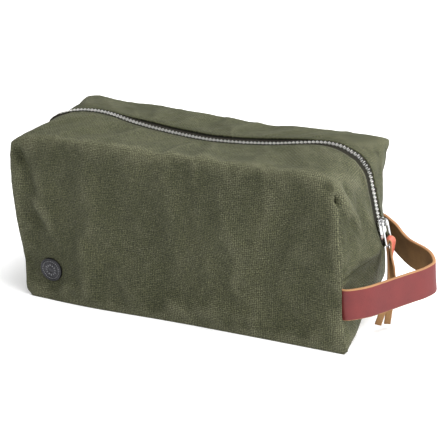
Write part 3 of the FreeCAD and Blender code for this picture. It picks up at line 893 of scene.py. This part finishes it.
def seam_stitching(bag, normals):
    """Stitches just above the level seam of each end."""
    for first, word in ((COLUMNS, "handle"), (2 * COLUMNS + ROWS, "plain")):
        for side in (-1, 1):
            points = []
            ups = []
            for r in range(2, RINGS):
                line = bag.rings[side][first:first + ROWS, r]
                line = line[np.argsort(bag.points[line, 2])]
                span = np.clip(1 - abs(bag.points[line, 1]).mean() / HALF_DEPTH, 0, 1)
                wanted = SEAM_Z + SEAM_ARCH * span + 3.4
                points.append(sample(bag.points[line, 2], bag.points[line], wanted))
                ups.append(sample(bag.points[line, 2], normals[line], wanted))
            row = stitches("%s_seam_stitches_%s" % (word, WORD[side]), points, np.array(ups), 3.4)
            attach(row, "tub")


# ---------------------------------------------------------------- zip

def chain_line(bag):
    """The chain's centre line from the slider to the far foot, with outward normals."""
    mid = bag.mid
    right = (mid[:, 0] > 0) & (mid[:, 1] > ZIP_FOOT_Z + 1)
    left = (mid[:, 0] < 0) & (mid[:, 1] > ZIP_FOOT_LEFT_Z - 1.0)
    order = np.flatnonzero((np.arange(len(mid)) >= COLUMNS) & (right | left))
    points = np.stack([mid[order, 0], bag.sway[order], mid[order, 1]], 1)
    normals = np.stack([bag.normal[order, 0], np.zeros(len(order)), bag.normal[order, 1]], 1)
    return points, normals, order


def tapes(bag, normals):
    """Each tape runs from beside the chain to under the canvas."""
    line, out, order = chain_line(bag)
    places = lengths(line)
    thick = 0.6
    open_at_foot = np.where(line[:, 0] > 0, ease(66, 73, line[:, 2]), 1.0)
    for side in (-1, 1):
        rings = bag.rings[side][order]
        sideways = np.array([0, side, 0])

        def under_canvas(depth):
            return [bag.points[rings[:, -r]] - normals[rings[:, -r]] * depth for r in (5, 4, 3, 2)]

        near = line + out * (thick / 2) + sideways * 2.6
        bead = line + out * (thick / 2 + 0.1) + sideways * 1.9
        edge = line + out * (thick / 2) + sideways * (0.3 + open_at_foot)[:, None]
        tops = under_canvas(CLOTH + 0.12) + [near, bead, edge]
        under = under_canvas(CLOTH + 0.12 + thick)
        under += [near - out * thick, bead - out * (thick + 0.5), edge - out * thick]
        rows = np.array(tops + under[::-1])
        loops, count = rows.shape[:2]
        widths = np.linspace(0, 2 * 14.0, loops + 1)
        faces = []
        uv = []
        for k in range(count - 1):
            for r in range(loops):
                corners = [(k, r), (k + 1, r), (k + 1, r + 1), (k, r + 1)][::-side]
                faces.append([a * loops + b % loops for a, b in corners])
                uv += [(widths[b], places[a]) for a, b in corners]
        for k in (0, count - 1):
            faces.append([k * loops + r for r in range(loops)])
            uv += [(widths[r], places[k]) for r in range(loops)]
        tape = make_object("tape_" + WORD[side], rows.transpose(1, 0, 2).reshape(-1, 3), faces,
                           [TAPE_WITH_PAINTED_SHADE], uv=uv)
        bend_with_mouth(tape)
        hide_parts("zip_tape_" + WORD[side])


TOOTH_PITCH = 3.0                   # along one row; the two rows interleave
# Half of one tooth from above, (across, along), and its layers, (height, scale)
TOOTH_OUTLINE = [(2.1, 0.30), (1.9, 0.42), (1.35, 0.42), (1.1, 0.28), (0.3, 0.28), (-0.3, 0.38),
                 (-0.7, 0.34), (-0.85, 0.16)]
TOOTH_LAYERS = [(-0.95, 0.8), (-0.75, 1.0), (0.7, 1.0), (0.95, 0.75)]


def top_stops():
    """The small crimped stops at the handle end, copied from the frame's parts in nickel."""
    for side in (-1, 1):
        name = "zip_top_stop_" + WORD[side]
        stop = bpy.data.objects.new("stop_" + WORD[side], frame["nodes"][name].data.copy())
        stop.data.materials.clear()
        stop.data.materials.append(NICKEL)
        bpy.context.scene.collection.objects.link(stop)
        bend_with_mouth(stop)
        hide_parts(name)


def teeth(bag):
    """Two interleaved rows of metal teeth that follow the chain over the bag."""
    line, out, _ = chain_line(bag)
    steps = lengths(line)
    start = np.interp(73.0, line[:24, 2], steps[:24])
    outline = TOOTH_OUTLINE + [(y, -t) for y, t in TOOTH_OUTLINE[::-1]]
    centre = sum(y for y, _ in outline) / len(outline)
    for side in (-1, 1):
        vertices = []
        faces = []
        first = start + (TOOTH_PITCH / 2 if side > 0 else 0)
        for place in np.arange(first, steps[-1] - 3.0, TOOTH_PITCH):
            here, ahead, behind = (sample(steps, line, place + step) for step in (0, 1.5, -1.5))
            outwards = sample(steps, out, place)
            along = (ahead - behind) / np.linalg.norm(ahead - behind)
            across = np.cross(outwards, along)
            across *= side * np.sign(across[1])
            up = np.cross(along, across)
            up *= np.sign(up @ outwards)
            faces += tube_faces(len(vertices), len(outline), len(TOOTH_LAYERS))
            for height, scale in TOOTH_LAYERS:
                for y, t in outline:
                    wide = centre + (y - centre) * (0.5 + 0.5 * scale)
                    vertices.append(here + across * wide + along * t * scale + up * height)
        row = make_object("teeth_" + WORD[side], vertices, faces, [NICKEL], smooth=False)
        face_outwards(row)
        bend_with_mouth(row)
        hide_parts("zip_teeth_" + WORD[side])


def face_outwards(obj):
    """Turns every face of a closed mesh outwards."""
    work = bmesh.new()
    work.from_mesh(obj.data)
    bmesh.ops.recalc_face_normals(work, faces=work.faces)
    work.to_mesh(obj.data)
    work.free()


# ---------------------------------------------------------------- leather

def sweep(name, path, across, size, materials):
    """A strip swept along path; across gives each station's width direction.

    size is width, thickness, cells across and bevel; materials are outside, inside and cut edge.
    """
    along = unit(np.gradient(path, axis=0))
    across = square_to(along, across)
    out = np.cross(across, along)
    section, kinds = strip_section(*size)
    n = len(section)
    steps = lengths(path)
    round_steps = np.arange(n + 1) * 2.0
    vertices = [here + a * w + o * d for here, a, o in zip(path, across, out) for w, d in section]
    faces = []
    face_material = []
    uv = []
    for i in range(len(path) - 1):
        for c in range(n):
            corners = ((i, c), (i, c + 1), (i + 1, c + 1), (i + 1, c))
            faces.append([a * n + b % n for a, b in corners])
            uv += [(round_steps[b], steps[a]) for a, b in corners]
        face_material += kinds
    for i in (0, len(path) - 1):
        faces.append([i * n + c for c in range(n)])
        uv += [(place, 0) for place in round_steps[:n]]
    obj = make_object(name, vertices, faces, materials, face_material + [2, 2], uv)
    face_outwards(obj)
    return obj


def strip_section(width, thick, cells, bevel):
    """Rounded oblong strip: (across, out) points, with material 0 out, 1 in, 2 on the cut edges."""
    half, deep, cut = width / 2, thick / 2, bevel * 0.3
    points = [(w, deep) for w in np.linspace(-half + bevel, half - bevel, cells + 1)]
    points += [(half - cut, deep - cut), (half, deep - bevel), (half, -deep + bevel),
               (half - cut, -deep + cut)]
    points += [(-w, -d) for w, d in points]
    return points, [0] * cells + [2] * 5 + [1] * cells + [2] * 5


STRAP_ROUTE = [(124, -47.5, 36.0), (129.5, -50.3, 36.1), (135, -50.6, 36.3), (146, -42, 36.6),
               (156, -27.5, 36.8), (165.5, -13, 37), (173.4, -0.5, 37.2), (176.2, 7.5, 38.2),
               (172.0, 15.5, 40.3), (164.5, 22, 41.2), (156, 27, 41.4), (148.4, 31, 42.4),
               (140, 36, 45.4), (132, 40.5, 49.6), (122.6, 45, 52), (112, 47, 52.5)]
STRAP_TILT = [(0, 0), (0.5, 0), (0.62, 4), (0.8, 7), (1, 4)]         # degrees, top edge outwards


def strap():
    """The handle: a stiff leather strap on edge, grain outside, sewn into both end seams."""
    stations = 130
    path = smooth_line(STRAP_ROUTE, stations) - [0, 0, 0.8]
    level = np.cross(unit(np.gradient(path, axis=0)), [0, 0, 1.0])
    tilt = np.radians(look_up(STRAP_TILT, np.linspace(0, 1, stations + 1)))[:, None]
    across = np.array([0, 0, 1.0]) * np.cos(tilt) - level * np.sin(tilt)
    obj = sweep("strap_loop", path, across, (23.6, 2.5, 10, 0.55), [FLESH, GRAIN, CUT_EDGE])
    for v in obj.data.vertices:
        at = Vector(v.co) / MM
        v.co.z += (noise.noise(at * 0.06) * 0.35 + noise.noise(at * 0.35) * 0.06) * MM
    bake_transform(obj)
    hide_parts("handle_strap", "handle_end_near", "handle_end_far")


# The lace from its outer tail's end over the ring's bar to the inner one's, from the bar
LACE_ROUTE = [(1.8, -11.5, -56.8), (3.8, -11.4, -44), (5.8, -9.8, -28), (4.6, -6.4, -15),
              (2.8, -2.4, -6.5), (2.6, 0.0, 0.5), (2.6, 0.4, 4.0), (0.6, 0.3, 5.2), (-1.4, 0, 3.0),
              (-1.2, 0, -2.0), (0.4, -1.2, -8), (2.3, -4.6, -15), (4.2, -11.0, -27),
              (2.0, -15.6, -40), (-2.4, -18.4, -55)]
LACE_TWIST = [(0, 122), (0.2, 110), (0.33, 70), (0.42, 0), (0.5, -34), (0.56, -16), (0.66, 20),
              (0.8, 46), (1, 60)]                                    # degrees


def lace():
    """The zip pull: a leather thong folded over the ring's lower bar, with two free tails."""
    stations = 120
    path = smooth_line(LACE_ROUTE, stations) + PULL_PIVOT
    turn = np.radians(look_up(LACE_TWIST, np.linspace(0, 1, stations + 1)))[:, None]
    along = unit(np.gradient(path, axis=0))
    flat = square_to(along, np.tile([0, 1.0, 0], (stations + 1, 1)))
    across = flat * np.cos(turn) + np.cross(along, flat) * np.sin(turn)
    obj = sweep("lace_pull", path, across, (4.8, 1.7, 4, 0.4),
                [PULL_GRAIN, PULL_FLESH, CUT_EDGE])
    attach(obj, "pull")
    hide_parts("leather_pull")


# ---------------------------------------------------------------- badge and zip metal

def lathe(profile, turns):
    """Vertices and faces of a profile of (radius, out) turned about the badge's axis."""
    vertices = []
    faces = []
    n = len(profile)
    for t in range(turns):
        angle = 2 * math.pi * t / turns
        vertices += [(radius * math.cos(angle), -out, radius * math.sin(angle))
                     for radius, out in profile]
        following = (t + 1) % turns
        faces += [(t * n + i, t * n + i + 1, following * n + i + 1, following * n + i)
                  for i in range(n - 1)]
    return vertices, faces


BOSS_SIDES = 8
BOSS_HEIGHT = 0.6
BEADS = 30
RAYS = 12


def boss(radius, angle, wide, long, base):
    """Points of a small raised oval on the badge, at a place round its axis."""
    points = []
    for scale, up in ((1.0, 0.0), (0.85, 0.6), (0.45, 0.95)):
        for c in range(BOSS_SIDES):
            a = 2 * math.pi * c / BOSS_SIDES
            outwards = radius + wide * scale * math.cos(a)
            sideways = long * scale * math.sin(a)
            points.append((outwards * math.cos(angle) - sideways * math.sin(angle),
                           -(base + BOSS_HEIGHT * up),
                           outwards * math.sin(angle) + sideways * math.cos(angle)))
    return points


def badge():
    """A domed cap with a raised rim, a ring of beads and a plain sunburst, with no lettering."""
    r = BADGE_R
    profile = [(r - 0.6, -0.4), (r - 0.1, 0.0), (r, 0.6), (r - 0.1, 1.5), (r - 0.5, 1.95),
               (r - 1.0, 2.0), (r - 1.4, 1.75), (r - 1.6, 1.3), (r - 2.9, 1.35), (r - 3.1, 1.6),
               (r - 3.5, 1.6), (r - 3.7, 1.35), (2.2, 1.55), (1.9, 1.9), (1.2, 2.0), (0.02, 2.05)]
    vertices, faces = lathe(profile, 72)
    plain_count = len(faces)
    bosses = [boss(r - 2.25, 2 * math.pi * b / BEADS, 0.5, 0.5, 1.3) for b in range(BEADS)]
    for b in range(RAYS):
        radius, wide = (4.1, 1.25) if b % 2 else (3.8, 1.0)
        bosses.append(boss(radius, 2 * math.pi * b / RAYS, wide, 0.42, 1.4))
    for points in bosses:
        faces += tube_faces(len(vertices), BOSS_SIDES, 3)
        vertices += points
    kinds = [0] * plain_count + [1] * (len(faces) - plain_count)
    obj = make_object("badge_disc", np.array(vertices) + BADGE_AT, faces, [GUNMETAL, RAISED_WEAR_AND_HIGHLIGHT], kinds)
    face_outwards(obj)
    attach(obj, "tub")
    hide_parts("badge_cap")


def finish_cad_parts():
    """Procedural finishes for the CAD parts that show as they are."""
    finishes = {"slider_body": SLIDER_NICKEL, "slider_crown": SLIDER_NICKEL,
                "slider_lock_spring": SLIDER_NICKEL, "pull_ring": SLIDER_NICKEL,
                "zip_bottom_stop": NICKEL, "badge_post": GUNMETAL, "badge_washer": GUNMETAL}
    for name, material in finishes.items():
        mesh = frame["nodes"][name].data
        mesh.materials.clear()
        mesh.materials.append(material)


def main():
    bag = shaped_bag()
    normals = vertex_normals(bag.points, bag.faces)
    cloth(bag, normals)
    lip_stitching(bag, normals)
    seam_stitching(bag, normals)
    tapes(bag, normals)
    teeth(bag)
    top_stops()
    strap()
    lace()
    badge()
    finish_cad_parts()


# ---------------------------------------------------------------- camera, floor and light

CAMERA_AZIMUTH = math.radians(30.0)
CAMERA_ELEVATION = math.radians(24.09)
CAMERA_ROLL = math.radians(-4.36)
CAMERA_DISTANCE = 1118.4
CAMERA_AIM = (0.0, 0.0, 60.0)
CAMERA_SHIFT = (11.33, -4.68)       # sideways and upwards in the view plane
CAMERA_LENS = 119.58


def add_camera():
    sin_a, cos_a = math.sin(CAMERA_AZIMUTH), math.cos(CAMERA_AZIMUTH)
    sin_e, cos_e = math.sin(CAMERA_ELEVATION), math.cos(CAMERA_ELEVATION)
    sin_r, cos_r = math.sin(CAMERA_ROLL), math.cos(CAMERA_ROLL)
    forward = Vector((-sin_a * cos_e, cos_a * cos_e, -sin_e))
    level = Vector((cos_a, sin_a, 0))
    upward = level.cross(forward)
    right = cos_r * level + sin_r * upward
    up = cos_r * upward - sin_r * level
    place = Vector(CAMERA_AIM) + right * CAMERA_SHIFT[0] + up * CAMERA_SHIFT[1]
    place -= forward * CAMERA_DISTANCE
    data = bpy.data.cameras.new("camera")
    data.lens = CAMERA_LENS
    data.sensor_width = 36.0
    camera = bpy.data.objects.new("camera", data)
    bpy.context.scene.collection.objects.link(camera)
    axes = Matrix((right, up, -forward)).transposed()
    camera.matrix_world = Matrix.Translation(place * MM) @ axes.to_4x4()
    bpy.context.scene.camera = camera


def area_light(name, place, aim, size, power):
    data = bpy.data.lights.new(name, "AREA")
    data.size = size
    data.energy = power
    lamp = bpy.data.objects.new(name, data)
    lamp.location = place
    lamp.rotation_euler = (Vector(aim) - Vector(place)).to_track_quat("-Z", "Y").to_euler()
    bpy.context.scene.collection.objects.link(lamp)


def add_stage():
    """A white floor and world, a large soft key light, and a weaker one for the bag's end."""
    floor, tree, shader, place = new_material("floor")
    set_inputs(tree, shader, {
        "Base Color": mix(tree, noise_value(tree, place, 3.0), (0.90,) * 3, (0.93,) * 3),
        "Roughness": 0.9, "Emission Color": (1, 1, 1, 1), "Emission Strength": 0.2})
    size = 6000
    ground = make_object("floor", [(-size, -size, 0), (size, -size, 0), (size, size, 0),
                                   (-size, size, 0)], [(0, 1, 2, 3)], [floor], smooth=False)
    world = bpy.data.worlds.new("studio")
    world.use_nodes = True
    set_inputs(world.node_tree, world.node_tree.nodes["Background"],
               {"Color": (1, 1, 1, 1), "Strength": 0.69})
    bpy.context.scene.world = world
    area_light("key", (0.8, 0.3, 1.65), (0, 0, 0.05), 1.5, 53)
    area_light("side", (1.8, -0.35, 0.75), (0.1, 0, 0.05), 0.9, 18)


bpy.context.scene.view_settings.view_transform = "Standard"
main()
add_camera()
add_stage()
